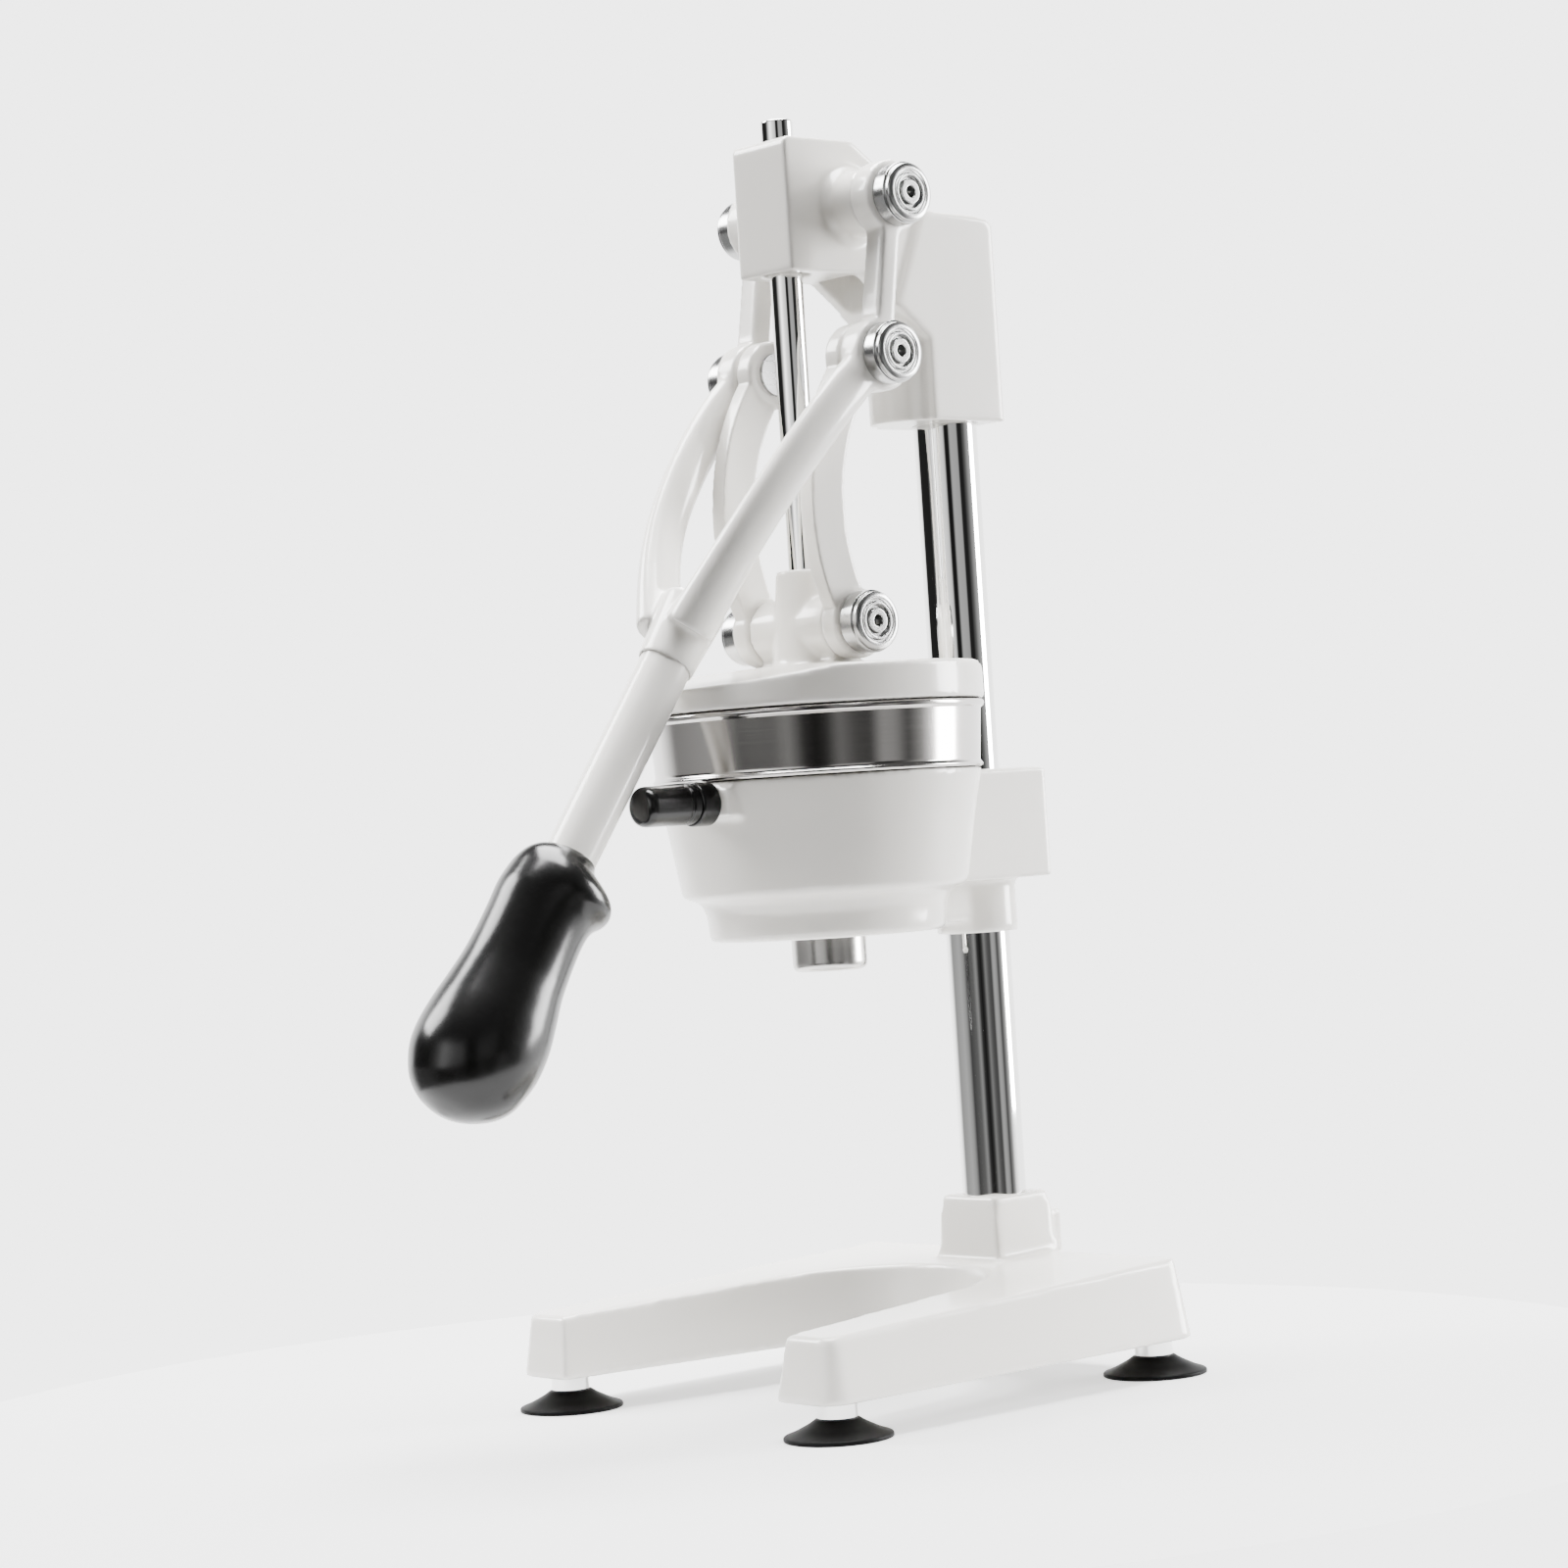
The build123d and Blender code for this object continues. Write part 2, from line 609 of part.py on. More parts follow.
# ---------------------------------------------------------------- steel cup and reamer
t = cup_sheet
with BuildPart() as steel_cup:
    turned([
        (0, cup_floor_z), (cup_floor_r, cup_floor_z), (cup_low_r, cup_bead_z - 2), (cup_low_r + 0.6, cup_bead_z),
        (cup_neck_r + 0.6, cup_bead_z), (cup_neck_r + 1.0, cup_bead_z + 1.2), (cup_neck_r, cup_bead_z + 2.2),
        (cup_rim_r - 1.0, cup_rim_z - 2.4), (cup_rim_r + 0.5, cup_rim_z - 1.6), (cup_rim_r + 0.5, cup_rim_z - 0.4),
        (cup_rim_r - 0.2, cup_rim_z), (cup_rim_r - 2.0, cup_rim_z), (cup_rim_r - 2.2, cup_rim_z - 2.6),
        (cup_neck_r - t, cup_bead_z + 2.0), (cup_neck_r - t - 0.4, cup_bead_z + 1.4), (cup_low_r, cup_bead_z + 1.2),
        (cup_low_r - t, cup_bead_z - 1.0), (cup_floor_r - t, cup_floor_z + t),
        (0, cup_floor_z + t)])
    with BuildSketch(Plane.XY.offset(cup_floor_z - 1)):
        for radius in cup_hole_rings:
            with PolarLocations(radius, cup_hole_count):
                Circle(cup_hole_r)
    extrude(amount=cup_sheet + 2, mode=Mode.SUBTRACT)
save(steel_cup.part, "steel_cup")

reamer_z = cup_floor_z + cup_sheet
reamer_top = presser_roof - reamer_gap
with BuildPart() as reamer:
    rib_foot = reamer_z + reamer_foot_h
    turned([(0, reamer_z), (reamer_foot_r, reamer_z), (reamer_foot_r, rib_foot), (reamer_body_r, rib_foot),
            (14, reamer_top - 16), (3, reamer_top - 2), (0, reamer_top - 2)])
    with PolarLocations(0, reamer_ribs):
        with BuildSketch(Plane.XZ) as fin:
            with BuildLine():
                Polyline((1, rib_foot), (reamer_fin_r, rib_foot), (19.5, reamer_top - 15), (3.5, reamer_top),
                         (1, reamer_top), close=True)
            make_face()
        fin_solid = extrude(fin.sketch, amount=reamer_fin_half, both=True, mode=Mode.PRIVATE)
        add(fin_solid)
save(reamer.part, "reamer")

# ---------------------------------------------------------------- bowl with its column sleeve
w = bowl_wall
with BuildPart() as bowl:
    turned([
        (0, ring_z), (ring_r - 1.6, ring_z), (ring_r, ring_z + 1.6), (ring_r + 0.6, ring_z + 10.4),
        (ring_r + 3.0, bowl_hip_z - 3.0), (bowl_hip_r - 1.4, bowl_hip_z - 1.4), (bowl_hip_r, bowl_hip_z),
        (bowl_mid_r, bowl_mid_z), (bowl_rim_r, bowl_rim_z), (0, bowl_rim_z)])
    box(-bracket_half_x, bracket_half_x, bracket_front_y, bracket_back_y, bracket_foot, bowl_rim_z - 0.8)
    rod_z(0, column_y, sleeve_foot, bracket_foot + 1, sleeve_r)
    box(-web_half_x, web_half_x, web_front_y, column_y, ring_z + 1.2, bracket_foot + 1)
    box(handle_x - lug_half_x, handle_x + lug_half_x, lug_front_y, lug_root_y, handle_z - lug_half_z,
        handle_z + lug_half_z)
    with BuildSketch(Plane.XZ):
        with BuildLine():
            Polyline((0, ring_z - 1), (drain_r + seat_gap, ring_z - 1), (drain_r + seat_gap, ring_floor),
                     (ring_floor_slope_r, ring_floor), (ring_r - w - 1.0, ring_floor + 2.0), (ring_r - w, ring_z + 11.0),
                     (ring_r - w + 3.0, bowl_hip_z - 0.5), (bowl_hip_r - w, bowl_hip_z + 2.5),
                     (bowl_mid_r - w, bowl_mid_z), (bowl_rim_r - w, bowl_rim_z + 0.5), (0, bowl_rim_z + 0.5), close=True)
        make_face()
    revolve(axis=Axis.Z, mode=Mode.SUBTRACT)
    rod_z(0, column_y, sleeve_foot - 1, bowl_rim_z + 1, column_r + seat_gap, Mode.SUBTRACT)
    rod_y(0, column_y, bracket_back_y + 1, bowl_screw_z, screw_r + seat_gap, Mode.SUBTRACT)
    rod_y(handle_x, lug_front_y - 1, lug_front_y + handle_stud_depth, handle_z, handle_stud_r + seat_gap,
          Mode.SUBTRACT)
save(bowl.part, "bowl")

with BuildPart() as nozzle:
    turned([(nozzle_bore_r, nozzle_z), (nozzle_r - 3.0, nozzle_z), (nozzle_r - 0.9, nozzle_z + 0.9),
            (nozzle_r, nozzle_z + 3.0), (nozzle_r, ring_z), (drain_r, ring_z), (drain_r, ring_floor + nozzle_neck_rise),
            (nozzle_bore_r, ring_floor + nozzle_neck_rise)])
save(nozzle.part, "nozzle")

with BuildPart() as nozzle_nut:
    with BuildSketch(Plane.XY.offset(ring_floor)):
        RegularPolygon(nozzle_nut_flat_r, 6, major_radius=False)
        Circle(drain_r + seat_gap, mode=Mode.SUBTRACT)
    extrude(amount=nozzle_nut_h)
save(nozzle_nut.part, "nozzle_nut")

# ---------------------------------------------------------------- bowl handle
with BuildPart() as handle_stud:
    rod_y(handle_x, handle_end_y + handle_stud_end, lug_front_y + handle_stud_depth - 0.1, handle_z, handle_stud_r)
save(handle_stud.part, "handle_stud")

with BuildPart() as handle_collar:
    rod_y(handle_x, lug_front_y - collar_len, lug_front_y, handle_z, collar_r)
    chamfer(handle_collar.edges().filter_by(GeomType.CIRCLE), 0.6)
    rod_y(handle_x, lug_front_y - collar_len - 1, lug_front_y + 1, handle_z, handle_stud_r + seat_gap,
          Mode.SUBTRACT)
save(handle_collar.part, "handle_collar")

with BuildPart() as handle_grip:
    rod_y(handle_x, handle_end_y, lug_front_y - collar_len, handle_z, handle_r)
    fillet(handle_grip.edges().filter_by(GeomType.CIRCLE).group_by(Axis.Y)[0], handle_tip_r)
    rod_y(handle_x, handle_end_y + handle_stud_end - 0.1, lug_front_y, handle_z, handle_stud_r + seat_gap,
          Mode.SUBTRACT)
save(handle_grip.part, "handle_grip")
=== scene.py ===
from math import cos, pi, radians, sin

import bmesh
import bpy
from mathutils import Matrix, Vector


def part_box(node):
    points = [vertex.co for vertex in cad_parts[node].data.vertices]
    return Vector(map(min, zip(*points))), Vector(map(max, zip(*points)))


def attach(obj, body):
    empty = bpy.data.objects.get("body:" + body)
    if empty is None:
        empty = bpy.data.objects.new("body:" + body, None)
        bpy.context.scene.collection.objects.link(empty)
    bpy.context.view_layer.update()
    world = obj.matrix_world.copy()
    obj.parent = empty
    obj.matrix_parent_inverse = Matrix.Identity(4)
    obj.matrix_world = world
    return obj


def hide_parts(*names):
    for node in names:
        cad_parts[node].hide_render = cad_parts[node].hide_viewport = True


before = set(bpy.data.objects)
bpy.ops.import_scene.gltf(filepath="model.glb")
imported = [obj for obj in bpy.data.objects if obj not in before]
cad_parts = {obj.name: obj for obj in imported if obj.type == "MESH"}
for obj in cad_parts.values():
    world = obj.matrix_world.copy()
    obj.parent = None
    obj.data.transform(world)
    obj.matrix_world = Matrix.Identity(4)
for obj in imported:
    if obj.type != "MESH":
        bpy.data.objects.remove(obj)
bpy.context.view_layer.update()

scene = bpy.context.scene


# ------------------------------------------------------------------ camera, floor and studio light
# The press stands on a plain pale floor. The camera is at table height, far back, with a long lens.
# The studio is a bright tent with a few dark strips in it, which give the chrome its black bands.
camera_place = Vector((1.1248, -0.96244, 0.2190))
camera_right = Vector((0.6560, 0.7520, -0.0640))
camera_ahead = Vector((-0.7530, 0.6580, 0.0190))
camera_up = camera_right.cross(camera_ahead).normalized()
camera_right = camera_ahead.cross(camera_up).normalized()
camera_data = bpy.data.cameras.new("table_camera")
camera_data.sensor_width = 36.0
camera_data.lens = 89.6
camera_data.shift_x = 0.0109
camera_data.shift_y = -0.0186
camera_data.clip_end = 50.0
camera = bpy.data.objects.new("table_camera", camera_data)
turn = Matrix((camera_right, camera_up, -camera_ahead.normalized())).transposed()
camera.matrix_world = Matrix.Translation(camera_place) @ turn.to_4x4()
scene.collection.objects.link(camera)
scene.camera = camera


class Socket:
    """A shader value that can be added, subtracted, multiplied, divided and clamped like a number."""

    def __init__(self, tree, socket):
        self.tree = tree
        self.socket = socket

    def _math(self, operation, a, b=None, clamp=False):
        node = self.tree.nodes.new("ShaderNodeMath")
        node.operation = operation
        node.use_clamp = clamp
        for slot, value in zip(node.inputs, (a, b)):
            if isinstance(value, Socket):
                self.tree.links.new(value.socket, slot)
            elif value is not None:
                slot.default_value = value
        return Socket(self.tree, node.outputs[0])

    def __add__(self, other):
        return self._math("ADD", self, other)

    __radd__ = __add__

    def __sub__(self, other):
        return self._math("SUBTRACT", self, other)

    def __rsub__(self, other):
        return self._math("SUBTRACT", other, self)

    def __mul__(self, other):
        return self._math("MULTIPLY", self, other)

    __rmul__ = __mul__

    def __truediv__(self, other):
        return self._math("DIVIDE", self, other)

    def clamped(self):
        return self._math("ADD", self, 0.0, clamp=True)


class Finish:
    """A material being put together: every node but the maths comes from node()."""

    def __init__(self, name, world=None):
        self.owner = world or bpy.data.materials.new(name)
        self.owner.use_nodes = True
        self.tree = self.owner.node_tree
        self.tree.nodes.clear()

    def node(self, kind, settings=None, values=None):
        made = self.tree.nodes.new(kind)
        for key, value in (settings or {}).items():
            if key == "stops":
                stops = made.color_ramp.elements
                stops.remove(stops[-1])
                for i, (at, shade) in enumerate(value):
                    stop = stops.new(at) if i else stops[0]
                    stop.position = at
                    stop.color = (shade, shade, shade, 1.0)
            else:
                setattr(made, key, value)
        for key, value in (values or {}).items():
            slot = made.inputs[key]
            if isinstance(value, Socket):
                self.tree.links.new(value.socket, slot)
            else:
                slot.default_value = value
        return made

    def out(self, kind, output, settings=None, values=None):
        return Socket(self.tree, self.node(kind, settings, values).outputs[output])

    def place(self, scale=(1.0, 1.0, 1.0)):
        spot = self.out("ShaderNodeTexCoord", "Object")
        return self.out("ShaderNodeMapping", "Vector", None, {"Vector": spot, "Scale": scale})

    def noise(self, scale, detail=3.0, spot=None, rough=0.5):
        values = {"Vector": spot or self.place(), "Scale": scale, "Detail": detail, "Roughness": rough}
        return self.out("ShaderNodeTexNoise", 0, None, values)

    def mix(self, factor, a, b):
        pick = self.node("ShaderNodeMix", {"data_type": "RGBA"}, {})
        for index, value in ((0, factor), (6, a), (7, b)):
            if isinstance(value, Socket):
                self.tree.links.new(value.socket, pick.inputs[index])
            else:
                pick.inputs[index].default_value = value
        return Socket(self.tree, pick.outputs[2])

    def bump(self, height, strength, distance):
        values = {"Height": height, "Strength": strength, "Distance": distance}
        return self.out("ShaderNodeBump", 0, None, values)

    def surface(self, **values):
        named = {key.replace("_", " "): value for key, value in values.items()}
        shader = self.node("ShaderNodeBsdfPrincipled", None, named)
        end = self.node("ShaderNodeOutputMaterial")
        self.tree.links.new(shader.outputs[0], end.inputs[0])
        return self.owner


studio = bpy.data.worlds.new("studio_tent")
scene.world = studio
tent = Finish("studio_tent", studio)
ahead = tent.out("ShaderNodeTexCoord", "Generated")
split = tent.node("ShaderNodeSeparateXYZ", None, {"Vector": ahead})
east, north, height = (Socket(tent.tree, split.outputs[i]) for i in range(3))
bearing = Socket(tent.tree, tent.node("ShaderNodeMath", {"operation": "ARCTAN2"}).outputs[0])
tent.tree.links.new(north.socket, bearing.socket.node.inputs[0])
tent.tree.links.new(east.socket, bearing.socket.node.inputs[1])
round_the_room = bearing / (2 * pi) + 0.5
# white screens with black flags between them, by compass bearing: one row above eye level and one below
high_flags = [(0.0, 1.0), (0.02, 0.90), (0.045, 0.006), (0.16, 0.006), (0.185, 0.10), (0.215, 0.35),
              (0.245, 1.0), (0.30, 0.45), (0.345, 0.30), (0.365, 0.004), (0.40, 0.004), (0.42, 0.15),
              (0.485, 0.13), (0.50, 0.006), (0.535, 0.006), (0.568, 0.04), (0.624, 0.17), (0.66, 0.80),
              (0.70, 1.0)]
low_flags = [(0.0, 0.90), (0.03, 0.50), (0.06, 0.11), (0.16, 0.16), (0.20, 0.11), (0.235, 0.02),
             (0.30, 0.04), (0.33, 0.09), (0.36, 0.012), (0.385, 0.004), (0.405, 0.014), (0.43, 0.07),
             (0.46, 0.03), (0.49, 0.02), (0.515, 0.14), (0.54, 0.12), (0.57, 0.02), (0.605, 0.11),
             (0.64, 0.60), (0.68, 1.0)]
high_row = tent.out("ShaderNodeValToRGB", "Color", {"stops": high_flags}, {"Fac": round_the_room})
low_row = tent.out("ShaderNodeValToRGB", "Color", {"stops": low_flags}, {"Fac": round_the_room})
eye_level = tent.out("ShaderNodeMapRange", 0, {"interpolation_type": "SMOOTHSTEP"},
                     {"Value": height, "From Min": -0.03, "From Max": 0.01})
strips = tent.mix(eye_level, low_row, high_row)
overhead = tent.out("ShaderNodeMapRange", 0, {"interpolation_type": "SMOOTHSTEP"},
                    {"Value": height, "From Min": 0.30, "From Max": 0.60})
lit = tent.mix(overhead, strips, (0.03, 0.03, 0.03, 1.0))
mirrored = tent.out("ShaderNodeLightPath", "Is Glossy Ray")
seen = tent.out("ShaderNodeLightPath", "Is Camera Ray")
room = tent.mix(mirrored, (0.035, 0.034, 0.033, 1.0), lit)
backdrop = 1.05          # the wall behind is as bright as the table
shown = tent.mix(seen, room, (backdrop, backdrop, backdrop, 1.0))
sky = tent.node("ShaderNodeBackground", None, {"Color": shown, "Strength": 4.0})
world_end = tent.node("ShaderNodeOutputWorld")
tent.tree.links.new(sky.outputs[0], world_end.inputs[0])


def softbox(name, place, aim, width, tall, power):
    lamp = bpy.data.lights.new(name, "AREA")
    lamp.shape = "RECTANGLE"
    lamp.size, lamp.size_y, lamp.energy = width, tall, power
    holder = bpy.data.objects.new(name, lamp)
    holder.location = place
    holder.rotation_euler = (Vector(aim) - Vector(place)).to_track_quat("-Z", "Y").to_euler()
    scene.collection.objects.link(holder)


softbox("top_softbox", (-0.25, 0.25, 2.0), (0, 0, 0.2), 1.4, 1.4, 250.0)
softbox("left_softbox", (-1.45, -0.95, 1.55), (0, 0, 0.25), 1.0, 0.9, 95.0)
softbox("right_softbox", (0.95, 1.68, 0.55), (0, 0, 0.25), 0.7, 1.2, 105.0)


def mesh_piece(name, corners, faces, finish, smooth=True):
    """A closed mesh object from its corners and faces, with its faces turned outwards."""
    shape = bmesh.new()
    points = [shape.verts.new(c) for c in corners]
    for face in faces:
        if len(set(face)) > 2:
            shape.faces.new([points[i] for i in dict.fromkeys(face)])
    bmesh.ops.remove_doubles(shape, verts=shape.verts, dist=1e-7)
    bmesh.ops.recalc_face_normals(shape, faces=shape.faces)
    data = bpy.data.meshes.new(name)
    shape.to_mesh(data)
    shape.free()
    for polygon in data.polygons:
        polygon.use_smooth = smooth
    data.materials.append(finish)
    piece = bpy.data.objects.new(name, data)
    scene.collection.objects.link(piece)
    return piece


floor_finish = Finish("pale_floor")
floor_shade = floor_finish.noise(3.0, 2.0)
floor_colour = floor_finish.mix(floor_shade, (0.50, 0.50, 0.50, 1.0), (0.53, 0.53, 0.53, 1.0))
floor_glow = 1.1         # a light table: it glows, so its edge hardly shows against the wall
floor_reach = 0.36       # a round top, small enough that the chrome mirrors the room past its edge
floor_sides = 96
floor_rim = [(floor_reach * cos(2 * pi * k / floor_sides), floor_reach * sin(2 * pi * k / floor_sides), 0.0)
             for k in range(floor_sides)]
pale_floor = floor_finish.surface(Base_Color=floor_colour, Roughness=0.9, Emission_Strength=floor_glow,
                                  Emission_Color=(1.0, 1.0, 1.0, 1.0), Specular_IOR_Level=0.1)
floor = mesh_piece("floor", floor_rim, [tuple(range(floor_sides))], pale_floor)


# ------------------------------------------------------------------ base casting
# One hollow casting in white stove enamel: two tapered legs, a round mouth for the glass and a square
# socket for the column.
# The edges are the soft ones of a casting under thick enamel, with a faint orange peel in the gloss.
def enamel(name, tone, peel=0.10):
    finish = Finish(name)
    cloud = finish.noise(9.0, 3.0)
    fine = finish.noise(260.0, 2.0)
    ripple = finish.noise(95.0, 2.0)
    low = tuple(c * 0.955 for c in tone) + (1.0,)
    colour = finish.mix(cloud, low, tone + (1.0,))
    # painted highlight: convex edges, found by pointiness, are lightened towards near white in the base
    # colour
    edge_highlight_pointiness = finish.out("ShaderNodeNewGeometry", "Pointiness")
    edge = ((edge_highlight_pointiness - 0.5) * 9.0).clamped()
    colour = finish.mix(edge * 0.35, colour, (0.97, 0.97, 0.96, 1.0))
    rough = fine * 0.05 + cloud * 0.06 + 0.16
    skin = finish.bump(ripple + fine * 0.3, peel, 0.0006)
    return finish.surface(Base_Color=colour, Roughness=rough, Normal=skin, Coat_Weight=0.35,
                          Coat_Roughness=0.06, Specular_IOR_Level=0.5)


white_enamel = enamel("white_enamel", (0.78, 0.758, 0.715))


def softened(name, node, finish, grain, passes, body):
    """A copy of a casting with its edges rounded as enamel rounds them, in place of the plain one."""
    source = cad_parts[node]
    data = source.data.copy()
    data.name = name
    shape = bmesh.new()
    shape.from_mesh(data)
    bmesh.ops.remove_doubles(shape, verts=shape.verts, dist=2e-6)
    shape.to_mesh(data)
    shape.free()
    piece = bpy.data.objects.new(name, data)
    scene.collection.objects.link(piece)
    remesh = piece.modifiers.new("remesh", "REMESH")
    remesh.mode = "VOXEL"
    remesh.voxel_size = grain
    remesh.use_smooth_shade = True
    ease = piece.modifiers.new("ease", "SMOOTH")
    ease.factor = 0.5
    ease.iterations = passes
    bpy.context.view_layer.update()
    made = bpy.data.meshes.new_from_object(piece.evaluated_get(bpy.context.evaluated_depsgraph_get()))
    piece.modifiers.clear()
    piece.data = made
    made.name = name
    made.materials.clear()
    made.materials.append(finish)
    for polygon in made.polygons:
        polygon.use_smooth = True
    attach(piece, body)
    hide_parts(node)
    return piece


softened("base_casting", "base", white_enamel, 0.0013, 6, "frame")


# ------------------------------------------------------------------ suction feet
# Four black rubber suction cups, each moulded round a chromed stud that screws up into the base.
# The rims are thin and slightly glossy where they are pressed flat on the table.
def arc_corners(points):
    """A turned outline of (radius, height, rounding), with each corner rounded by its own radius."""
    outline = []
    count = len(points)
    for i, (r, h, rounding) in enumerate(points):
        here = Vector((r, h))
        if rounding <= 0:
            outline.append((r, h))
            continue
        back = Vector(points[i - 1][:2]) - here
        on = Vector(points[(i + 1) % count][:2]) - here
        reach = min(rounding, back.length * 0.45, on.length * 0.45)
        start, end = here + back.normalized() * reach, here + on.normalized() * reach
        before, after = start + back * 0.03, end + on * 0.03
        outline.append((before.x, before.y))
        for step in range(6):
            t = step / 5
            spot = start * (1 - t) ** 2 + here * 2 * t * (1 - t) + end * t ** 2
            outline.append((spot.x, spot.y))
        outline.append((after.x, after.y))
    return outline


def turned(name, points, centre, along, finish, sides=96, closed=True):
    """A solid turned round an axis through centre, from (radius, distance along, rounding) in mm."""
    outline = arc_corners(points)
    along = Vector(along).normalized()
    side = Vector((1, 0, 0)) if abs(along.x) < 0.9 else Vector((0, 1, 0))
    side = (side - along * side.dot(along)).normalized()
    third = along.cross(side)
    corners, rings = [], []
    for r, h in outline:
        start = len(corners)
        if r < 1e-6:
            corners.append(Vector(centre) + along * h * 0.001)
            rings.append([start] * sides)
            continue
        for k in range(sides):
            a = 2 * pi * k / sides
            out = side * cos(a) + third * sin(a)
            corners.append(Vector(centre) + along * h * 0.001 + out * r * 0.001)
        rings.append(list(range(start, start + sides)))
    faces = []
    pairs = list(zip(rings, rings[1:] + rings[:1])) if closed else list(zip(rings, rings[1:]))
    for low, high in pairs:
        for k in range(sides):
            n = (k + 1) % sides
            faces.append((low[k], low[n], high[n], high[k]))
    piece = mesh_piece(name, corners, faces, finish)
    crease(piece)
    return piece


def crease(piece, degrees=32.0):
    """Smooth shading, except across edges that the maker left sharp."""
    shape = bmesh.new()
    shape.from_mesh(piece.data)
    for edge in shape.edges:
        if len(edge.link_faces) == 2 and edge.calc_face_angle(0.0) > radians(degrees):
            edge.smooth = False
    shape.to_mesh(piece.data)
    shape.free()


def joined(name, pieces, finish):
    """Several like pieces made one mesh."""
    shape = bmesh.new()
    for piece in pieces:
        shape.from_mesh(piece.data)
        bpy.data.objects.remove(piece)
    data = bpy.data.meshes.new(name)
    shape.to_mesh(data)
    shape.free()
    data.materials.append(finish)
    whole = bpy.data.objects.new(name, data)
    scene.collection.objects.link(whole)
    return whole


def fitted(piece, node, body):
    """Hangs a finished piece on its body in place of the plain node."""
    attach(piece, body)
    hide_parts(node)
    return piece


def repeated(name, original, places, finish):
    """Copies of a small piece at each place, by a node tree with the places as its points."""
    points = bpy.data.meshes.new(name + "_places")
    points.from_pydata([tuple(p) for p in places], [], [])
    holder = bpy.data.objects.new(name, points)
    scene.collection.objects.link(holder)
    tree = bpy.data.node_groups.new(name + "_layout", "GeometryNodeTree")
    tree.interface.new_socket("Places", in_out="INPUT", socket_type="NodeSocketGeometry")
    piece_in = tree.interface.new_socket("Piece", in_out="INPUT", socket_type="NodeSocketObject")
    size_in = tree.interface.new_socket("Size", in_out="INPUT", socket_type="NodeSocketFloat")
    tree.interface.new_socket("Result", in_out="OUTPUT", socket_type="NodeSocketGeometry")
    start, end = tree.nodes.new("NodeGroupInput"), tree.nodes.new("NodeGroupOutput")
    info = tree.nodes.new("GeometryNodeObjectInfo")
    info.inputs["As Instance"].default_value = True
    to_points = tree.nodes.new("GeometryNodeMeshToPoints")
    scatter = tree.nodes.new("GeometryNodeInstanceOnPoints")
    realize = tree.nodes.new("GeometryNodeRealizeInstances")
    paint = tree.nodes.new("GeometryNodeSetMaterial")
    paint.inputs["Material"].default_value = finish
    tree.links.new(start.outputs["Places"], to_points.inputs["Mesh"])
    tree.links.new(start.outputs["Piece"], info.inputs["Object"])
    tree.links.new(to_points.outputs["Points"], scatter.inputs["Points"])
    tree.links.new(info.outputs["Geometry"], scatter.inputs["Instance"])
    tree.links.new(start.outputs["Size"], scatter.inputs["Scale"])
    tree.links.new(scatter.outputs["Instances"], realize.inputs["Geometry"])
    tree.links.new(realize.outputs["Geometry"], paint.inputs["Geometry"])
    tree.links.new(paint.outputs["Geometry"], end.inputs["Result"])
    layout = holder.modifiers.new("layout", "NODES")
    layout.node_group = tree
    layout[piece_in.identifier] = original
    layout[size_in.identifier] = 1.0
    bpy.context.view_layer.update()
    made = bpy.data.meshes.new_from_object(holder.evaluated_get(bpy.context.evaluated_depsgraph_get()))
    holder.modifiers.clear()
    holder.data = made
    made.name = name
    bpy.data.objects.remove(original)
    crease(holder)
    return holder


def middle(node):
    """The centre of a node's box."""
    low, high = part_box(node)
    return (low + high) / 2


rubber = Finish("black_rubber")
scuff = rubber.noise(70.0, 4.0)
dust = rubber.noise(14.0, 3.0)
rubber_colour = rubber.mix(dust * 0.6, (0.003, 0.003, 0.003, 1.0), (0.008, 0.008, 0.008, 1.0))
black_rubber = rubber.surface(Base_Color=rubber_colour, Roughness=scuff * 0.18 + 0.34,
                              Normal=rubber.bump(scuff, 0.12, 0.0004), Specular_IOR_Level=0.04)
foot_low, foot_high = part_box("suction_cups")
foot_reach = 0.020
foot_places = [(x, y, 0.0) for x in (foot_low.x + foot_reach, foot_high.x - foot_reach)
               for y in (foot_low.y + foot_reach, foot_high.y - foot_reach)]
cup_outline = [(0, 4.4, 0), (9, 3.6, 2), (16.6, 0.0, 0), (20, 0.0, 0.5), (20, 1.5, 0.7), (16.0, 2.9, 3),
               (10.5, 5.7, 2), (8.0, 7.4, 0.4), (0, 7.4, 0)]
foot_cup = turned("suction_cup", cup_outline, (0, 0, 0), (0, 0, 1), black_rubber, 64)
suction_feet = repeated("suction_feet", foot_cup, foot_places, black_rubber)
fitted(suction_feet, "suction_cups", "frame")


# ------------------------------------------------------------------ chrome studs of the feet
# Turned steel collars with a threaded stud, chromed. Only the collar between rubber and casting is seen.
def chrome(name, tone=(0.78, 0.78, 0.77), base_rough=0.015, streaks=0.0):
    finish = Finish(name)
    haze = finish.noise(22.0, 4.0)
    fine = finish.noise(1.0, 2.0, finish.place((420.0, 420.0, 6.0)))
    low = tuple(c * 0.93 for c in tone) + (1.0,)
    colour = finish.mix(haze, low, tone + (1.0,))
    rough = haze * 0.03 + fine * streaks + base_rough
    return finish.surface(Base_Color=colour, Metallic=1.0, Roughness=rough,
                          Normal=finish.bump(haze, 0.002, 0.0002))


